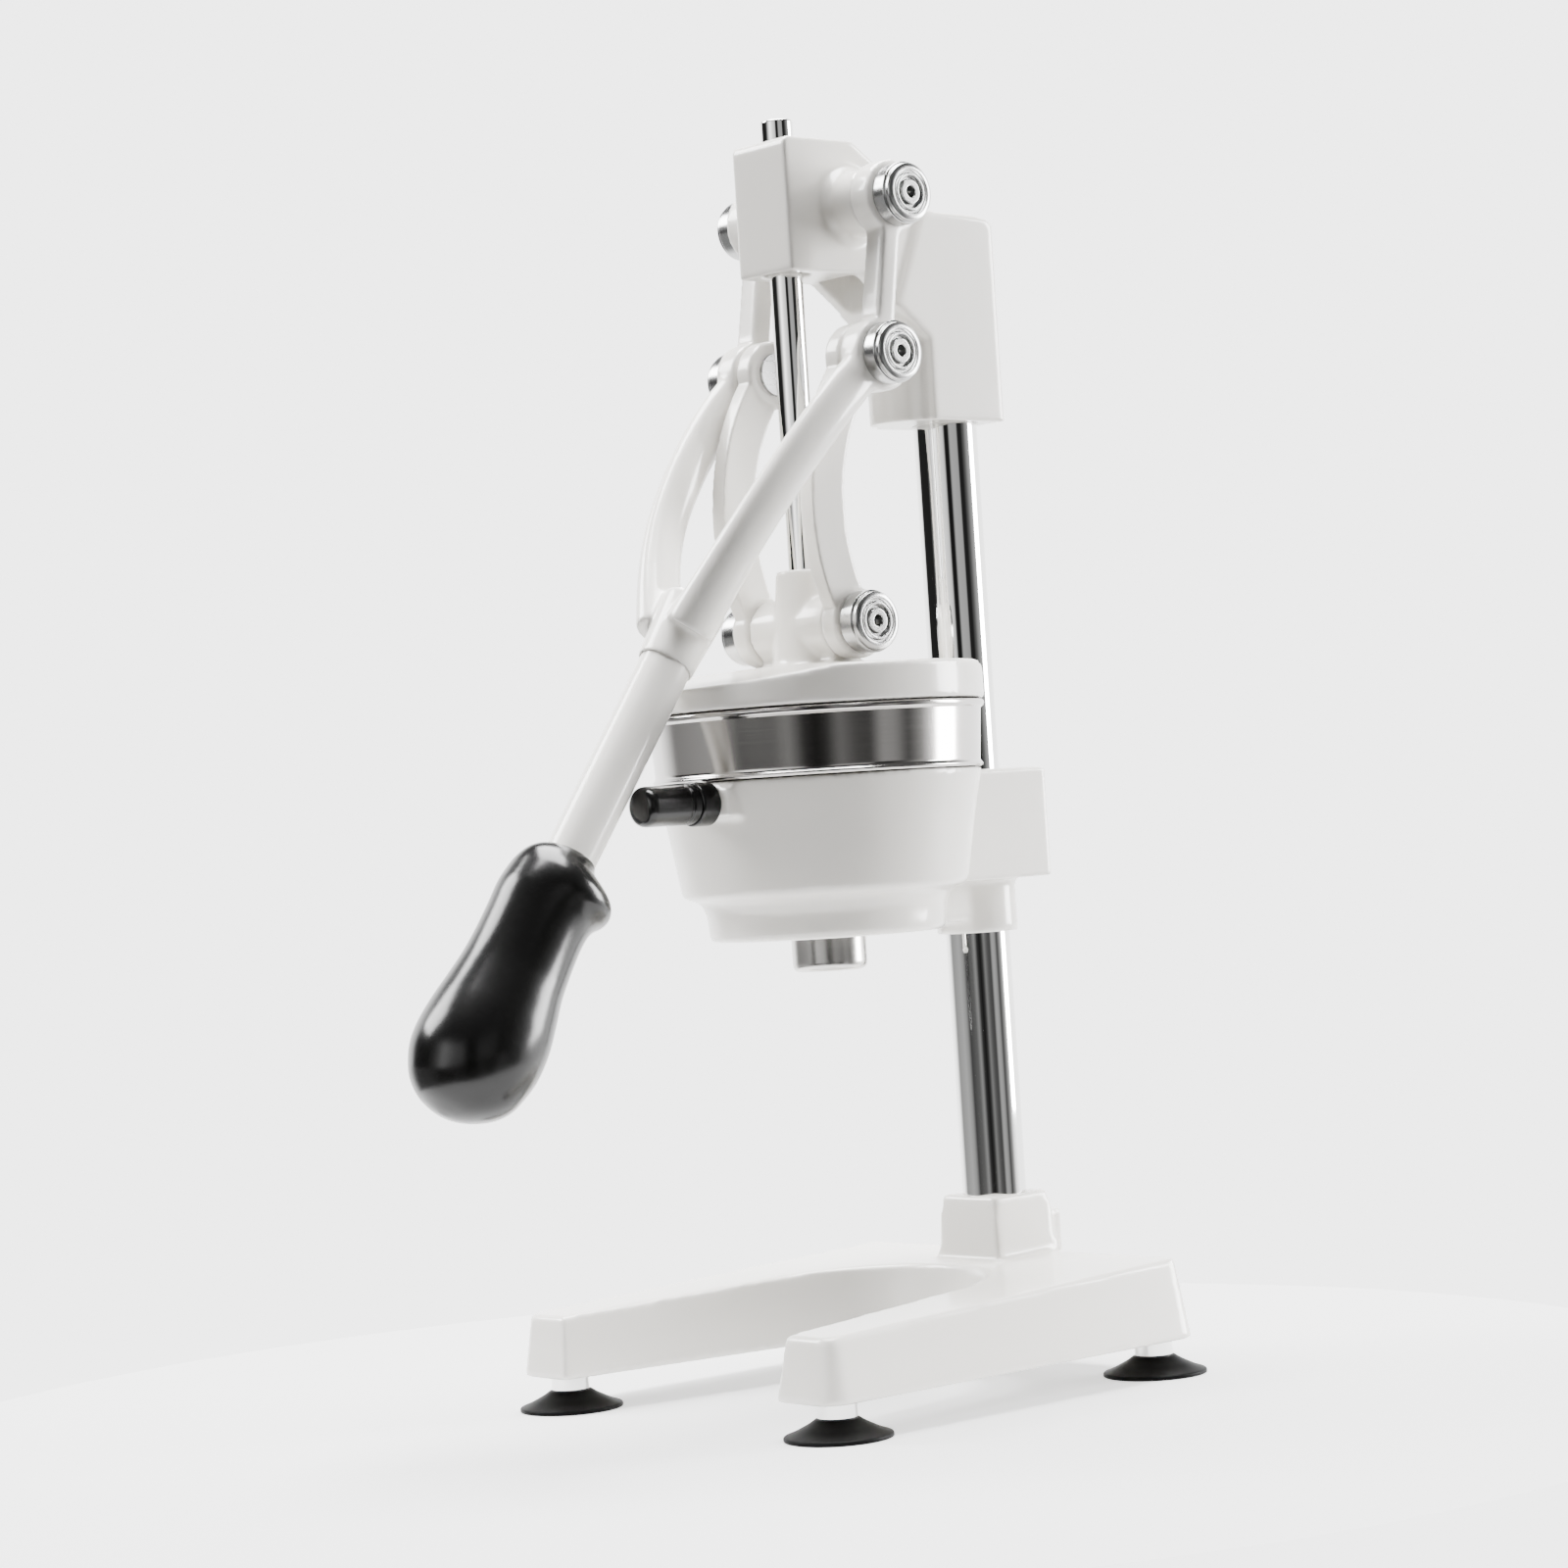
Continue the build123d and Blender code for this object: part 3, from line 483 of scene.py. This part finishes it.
bright_chrome = chrome("bright_chrome", streaks=0.02)
stud_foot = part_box("foot_studs")[0].z * 1000
collar_radius, collar_top, thread_radius, thread_top = 7.4, 13.5, 3.5, 28.0
stud_outline = [(0, stud_foot, 0), (collar_radius, stud_foot, 0.5), (collar_radius, collar_top, 0.5),
                (thread_radius, collar_top, 0), (thread_radius, thread_top, 0.4), (0, thread_top, 0)]
foot_stud = turned("foot_stud", stud_outline, (0, 0, 0), (0, 0, 1), bright_chrome, 48)
foot_collars = repeated("foot_collars", foot_stud, foot_places, bright_chrome)
fitted(foot_collars, "foot_studs", "frame")


# ------------------------------------------------------------------ column and guide rod
# Ground round bar with bright hard chrome. The column is clamped in the base and the head, and the rod
# slides in the head's bore.
bar_edge = 0.9           # the rounded corner at each end


def bar(name, node, body, radius, sides):
    low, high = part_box(node)
    centre = ((low.x + high.x) / 2, (low.y + high.y) / 2, low.z)
    length = (high.z - low.z) * 1000
    outline = [(0, 0, 0), (radius, 0, bar_edge), (radius, length, bar_edge), (0, length, 0)]
    return fitted(turned(name, outline, centre, (0, 0, 1), bright_chrome, sides), node, body)


column_radius, rod_radius = 12.7, 6.35
bar("column_bar", "column", "frame", column_radius, 160)
bar("guide_rod_bar", "guide_rod", "ram", rod_radius, 128)

# ------------------------------------------------------------------ head casting
# A hollow arm cast in one piece with the column socket, the guide block and two bosses for the top axle.
# It has the same white enamel as the base.
softened("head_casting", "head", white_enamel, 0.0010, 5, "frame")


# ------------------------------------------------------------------ axle caps
# Turned end caps pressed on the axles, chromed over fine tool marks: a step, a flat face with one groove
# round a raised disc, and a small centre hole.
def capped(name, node, body):
    tool = Finish(name + "_chrome")
    haze = tool.noise(30.0, 3.0)
    colour = tool.mix(haze, (0.34, 0.34, 0.34, 1.0), (0.46, 0.46, 0.455, 1.0))
    finish = tool.surface(Base_Color=colour, Metallic=1.0, Roughness=haze * 0.08 + 0.18,
                          Normal=tool.bump(haze, 0.002, 0.0002))
    low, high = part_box(node)
    pivot = middle(node)
    outline = [(0, 0, 0), (12.0, 0, 0.5), (12.0, 6.2, 0.3), (11.2, 6.7, 0.2), (11.2, 8.4, 0.6),
               (9.6, 9.0, 0.5), (8.6, 9.0, 0.2), (8.2, 8.1, 0), (7.5, 8.1, 0), (7.1, 9.0, 0.2),
               (6.3, 9.0, 0.2), (6.0, 7.4, 0), (4.9, 7.4, 0), (4.6, 9.0, 0.3), (2.3, 9.0, 0.3),
               (1.8, 5.6, 0), (0, 5.2, 0)]
    cap_depth = 0.009
    pair = []
    for face, out in ((high.x - cap_depth, 1), (low.x + cap_depth, -1)):
        pair.append(turned("cap", outline, (face, pivot.y, pivot.z), (out, 0, 0), finish, 96))
    both = joined(name, pair, finish)
    crease(both)
    return fitted(both, node, body)


capped("top_axle_caps", "top_caps", "frame")
capped("middle_axle_caps", "mid_caps", "lever")
capped("lower_axle_caps", "low_caps", "ram")

# ------------------------------------------------------------------ lever fork and tube
# The fork is one enamelled casting: two eyes a side, a straight bar between them and a bowed arm down
# to the socket, into which the lever's steel tube is pressed. The tube is enamelled with it.
lever_enamel = enamel("lever_enamel", (0.80, 0.780, 0.740), 0.08)
softened("fork_casting", "lever_fork", lever_enamel, 0.00085, 20, "lever")
lever_pivot = middle("mid_caps")
lever_down = Vector((0, -0.591, -0.806)).normalized()
lever_back = Vector((0, 0.806, -0.591)).normalized()
tube_radius, tube_start, tube_end = 10, 121, 299
tube_points = [(0, tube_start, 0), (tube_radius, tube_start, 0.5), (tube_radius, tube_end, 0.5),
               (0, tube_end, 0)]
lever_bar = turned("lever_tube_bar", tube_points, lever_pivot, lever_down, lever_enamel, 96)
fitted(lever_bar, "lever_tube", "lever")

# ------------------------------------------------------------------ lever grip
# A pear-shaped moulding in black plastic, driven on the tube. It swells to a lip at the top, most at the
# back where the hand would slip, thins to a waist and ends in a round belly.
moulding = Finish("black_gloss")
swirl = moulding.noise(34.0, 3.0)
grain = moulding.noise(420.0, 2.0)
black_tone = moulding.mix(swirl, (0.002, 0.002, 0.002, 1.0), (0.004, 0.004, 0.004, 1.0))
black_gloss = moulding.surface(Base_Color=black_tone, Roughness=swirl * 0.08 + grain * 0.04 + 0.16,
                               Normal=moulding.bump(grain + swirl, 0.05, 0.0003), Specular_IOR_Level=0.36)
grip_rings = [(228.6, 10.2, 10.6), (229.4, 10.5, 12.0), (231.0, 11.0, 13.9), (233.0, 12.6, 15.6),
              (235.0, 15.6, 17.0), (237.0, 18.6, 18.1), (239.0, 20.9, 18.9), (241.0, 22.2, 19.4),
              (243.5, 22.6, 19.8), (246.0, 21.9, 20.0), (249.0, 20.1, 20.0), (252.5, 18.9, 19.8),
              (258.0, 18.5, 19.5), (265.0, 18.8, 19.4), (272.0, 19.4, 19.5), (280.0, 20.4, 20.0),
              (290.0, 22.6, 21.3), (300.0, 24.5, 22.7), (310.0, 25.0, 23.3), (318.0, 23.8, 22.4),
              (325.0, 21.5, 19.7), (330.0, 17.6, 16.4), (334.0, 12.0, 11.6), (336.4, 6.4, 5.8),
              (337.4, 1.6, 1.4)]
silhouette = 0.70        # the two outlines are seen this far round from the lip


def eased(rows, steps):
    """A smooth run through rows of numbers, with some steps between each two."""
    run = []
    for i in range(len(rows) - 1):
        a, b = rows[max(i - 1, 0)], rows[i]
        c, d = rows[i + 1], rows[min(i + 2, len(rows) - 1)]
        for k in range(steps):
            t = k / steps
            run.append([0.5 * (2 * q + (r - p) * t + (2 * p - 5 * q + 4 * r - w) * t * t
                               + (3 * q - p - 3 * r + w) * t ** 3) for p, q, r, w in zip(a, b, c, d)])
    run.append(list(rows[-1]))
    return run


def pear_grip():
    sides = 128
    corners, faces = [], []
    rings = eased(grip_rings, 5)
    for along, back, front in rings:
        mean, swell = (back + front) / 2, (back - front) / 2 / silhouette
        for k in range(sides):
            a = 2 * pi * k / sides
            r = (mean + swell * cos(a)) * 0.001
            out = lever_back * cos(a) + Vector((1, 0, 0)) * sin(a)
            corners.append(lever_pivot + lever_down * along * 0.001 + out * r)
    for i in range(len(rings) - 1):
        for k in range(sides):
            n = (k + 1) % sides
            a, b = i * sides, (i + 1) * sides
            faces.append((a + k, a + n, b + n, b + k))
    last = (len(rings) - 1) * sides
    top = len(corners)
    corners.append(lever_pivot + lever_down * rings[0][0] * 0.001)
    corners.append(lever_pivot + lever_down * (rings[-1][0] + 0.1) * 0.001)
    faces += [(top, (k + 1) % sides, k) for k in range(sides)]
    faces += [(top + 1, last + k, last + (k + 1) % sides) for k in range(sides)]
    return mesh_piece("pear_grip", corners, faces, black_gloss)


fitted(pear_grip(), "lever_grip", "lever")

# ------------------------------------------------------------------ curved links
# Two bowed cast plates that carry the pull of the lever down to the press head, with a raised boss round
# each eye. Enamelled in the same white enamel as the base and the head.
for side in ("left", "right"):
    softened("curved_link_" + side, "link_" + side, white_enamel, 0.0007, 5, "links")

# ------------------------------------------------------------------ press head
# The cover, the cross-bar for the lower axle and the boss that holds the guide rod, all one casting in
# the same enamel.
softened("press_head_casting", "press_head", white_enamel, 0.0011, 5, "ram")


# ------------------------------------------------------------------ steel cup
# A deep-drawn stainless cup with a rolled rim, a bead that sits on the bowl and a pierced floor, polished
# on the outside with faint rings from the polishing wheel.
def polished_steel(name, low, high, rough):
    finish = Finish(name)
    cloud = finish.noise(12.0, 3.0)
    wheel = finish.noise(1.0, 2.0, finish.place((6.0, 6.0, 1500.0)))
    colour = finish.mix(cloud, low, high)
    return finish.surface(Base_Color=colour, Metallic=1.0, Roughness=cloud * 0.06 + wheel * 0.08 + rough,
                          Normal=finish.bump(wheel, 0.015, 0.0002))


cup_steel = polished_steel("cup_steel", (0.40, 0.385, 0.37, 1.0), (0.52, 0.505, 0.49, 1.0), 0.07)
cup_low, cup_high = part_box("steel_cup")
cup_centre = ((cup_low.x + cup_high.x) / 2, (cup_low.y + cup_high.y) / 2, 0.0)
cup_points = [(0, 205, 0), (49, 205, 4), (58, 236.2, 0), (58.5, 238.2, 0), (63.4, 238.2, 0.4),
              (64.2, 239.3, 0.8), (63.0, 240.6, 0.8), (64.3, 260.8, 0), (65.6, 261.8, 0.5),
              (65.8, 263.2, 0.6), (65.0, 264.0, 0.4), (63.4, 264.0, 0.4), (63.0, 261.4, 0),
              (61.8, 240.4, 0), (58.0, 239.4, 0), (57.0, 237.2, 0), (48.2, 206, 3), (0, 206, 0)]
cup_wall = turned("drawn_cup", cup_points, cup_centre, (0, 0, 1), cup_steel, 192)
# two rings of drain holes, punched through the flat floor
drain_rings, drain_count, drain_radius = (0.040, 0.0445), 32, 1.4
punch_foot, punch_long = 0.203, 5        # the punch starts below the floor and comes out above it
drain_places = [(cup_centre[0] + r * cos(2 * pi * k / drain_count),
                 cup_centre[1] + r * sin(2 * pi * k / drain_count), punch_foot)
                for r in drain_rings for k in range(drain_count)]
punch_points = [(0, 0, 0), (drain_radius, 0, 0), (drain_radius, punch_long, 0), (0, punch_long, 0)]
drain_punch = turned("drain_punch", punch_points, (0, 0, 0), (0, 0, 1), cup_steel, 16)
punches = repeated("drain_punches", drain_punch, drain_places, cup_steel)
punched = cup_wall.modifiers.new("drain_holes", "BOOLEAN")
punched.operation, punched.solver, punched.object = "DIFFERENCE", "EXACT", punches
bpy.context.view_layer.update()
finished_cup = cup_wall.evaluated_get(bpy.context.evaluated_depsgraph_get())
cup_wall.data = bpy.data.meshes.new_from_object(finished_cup)
cup_wall.data.name = "drawn_cup"
cup_wall.modifiers.clear()
bpy.data.objects.remove(punches)
crease(cup_wall)
fitted(cup_wall, "steel_cup", "frame")

# ------------------------------------------------------------------ bowl with its sleeve
# A cast bowl that carries the cup, with a block and sleeve that the column passes through, a foot ring and
# a lug for the handle. White enamel inside and out.
softened("bowl_casting", "bowl", white_enamel, 0.00125, 5, "frame")

# ------------------------------------------------------------------ spout and its nut
# A turned stainless spout with a rounded lip, held from inside the bowl by a thin nut.
spout_steel = polished_steel("spout_steel", (0.50, 0.49, 0.47, 1.0), (0.62, 0.61, 0.59, 1.0), 0.16)
spout_points = [(7, 163, 0.5), (14.5, 163, 3.2), (14.5, 176.4, 0.3), (9, 176.4, 0), (9, 187, 0.5),
                (7, 187, 0.5)]
spout = turned("spout", spout_points, cup_centre, (0, 0, 1), spout_steel, 96)
fitted(spout, "nozzle", "frame")

# ------------------------------------------------------------------ bowl handle
# A black moulded collar and a short round grip on a steel stud, screwed into the bowl's lug.
collar_low, collar_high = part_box("handle_collar")
grip_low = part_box("handle_grip")[0]
handle_centre = (middle("handle_grip").x, collar_high.y, middle("handle_grip").z)
collar_long = (collar_high.y - collar_low.y) * 1000
grip_long = (collar_high.y - grip_low.y) * 1000
stud_bore, ring_radius, handle_radius, groove_radius = 3.05, 8.4, 7.6, 7.2
collar_points = [(stud_bore, 0, 0), (ring_radius, 0, 0.8), (ring_radius, collar_long, 0.9),
                 (stud_bore, collar_long, 0)]
collar_ring = turned("handle_collar_ring", collar_points, handle_centre, (0, -1, 0), black_gloss, 80)
fitted(collar_ring, "handle_collar", "frame")
handle_points = [(0, collar_long, 0), (handle_radius, collar_long, 0.4),
                 (handle_radius, collar_long + 3.2, 0.3), (groove_radius, collar_long + 3.6, 0.3),
                 (groove_radius, collar_long + 4.4, 0.3), (handle_radius, collar_long + 4.8, 0.3),
                 (handle_radius, grip_long, 4.0), (0, grip_long, 0)]
handle_bar = turned("handle_grip_bar", handle_points, handle_centre, (0, -1, 0), black_gloss, 80)
fitted(handle_bar, "handle_grip", "frame")

# ------------------------------------------------------------------ small steel pieces and hidden castings
# Pins, washers, screws, the presser and the reamer keep their machined shapes and get their own metal.
ground_steel = polished_steel("ground_steel", (0.44, 0.44, 0.45, 1.0), (0.58, 0.58, 0.58, 1.0), 0.22)
zinc_steel = polished_steel("zinc_steel", (0.36, 0.37, 0.40, 1.0), (0.52, 0.52, 0.54, 1.0), 0.28)
reamer_steel = polished_steel("reamer_steel", (0.55, 0.55, 0.54, 1.0), (0.68, 0.68, 0.67, 1.0), 0.20)
casting = Finish("bare_casting")
skin = casting.noise(240.0, 4.0)
cloudy = casting.noise(12.0, 3.0)
casting_colour = casting.mix(cloudy, (0.56, 0.56, 0.57, 1.0), (0.70, 0.70, 0.70, 1.0))
bare_casting = casting.surface(Base_Color=casting_colour, Metallic=1.0, Roughness=skin * 0.15 + 0.30,
                               Normal=casting.bump(skin, 0.2, 0.0003))
small_metal = {"base_set_screw": zinc_steel, "head_set_screws": zinc_steel, "bowl_set_screw": zinc_steel,
               "presser_screw": zinc_steel, "top_axle": ground_steel, "mid_pins": ground_steel,
               "low_axle": ground_steel, "link_washers": ground_steel, "handle_stud": ground_steel,
               "nozzle_nut": spout_steel, "reamer": reamer_steel, "presser": bare_casting}
for node, finish in small_metal.items():
    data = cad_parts[node].data
    data.materials.clear()
    data.materials.append(finish)
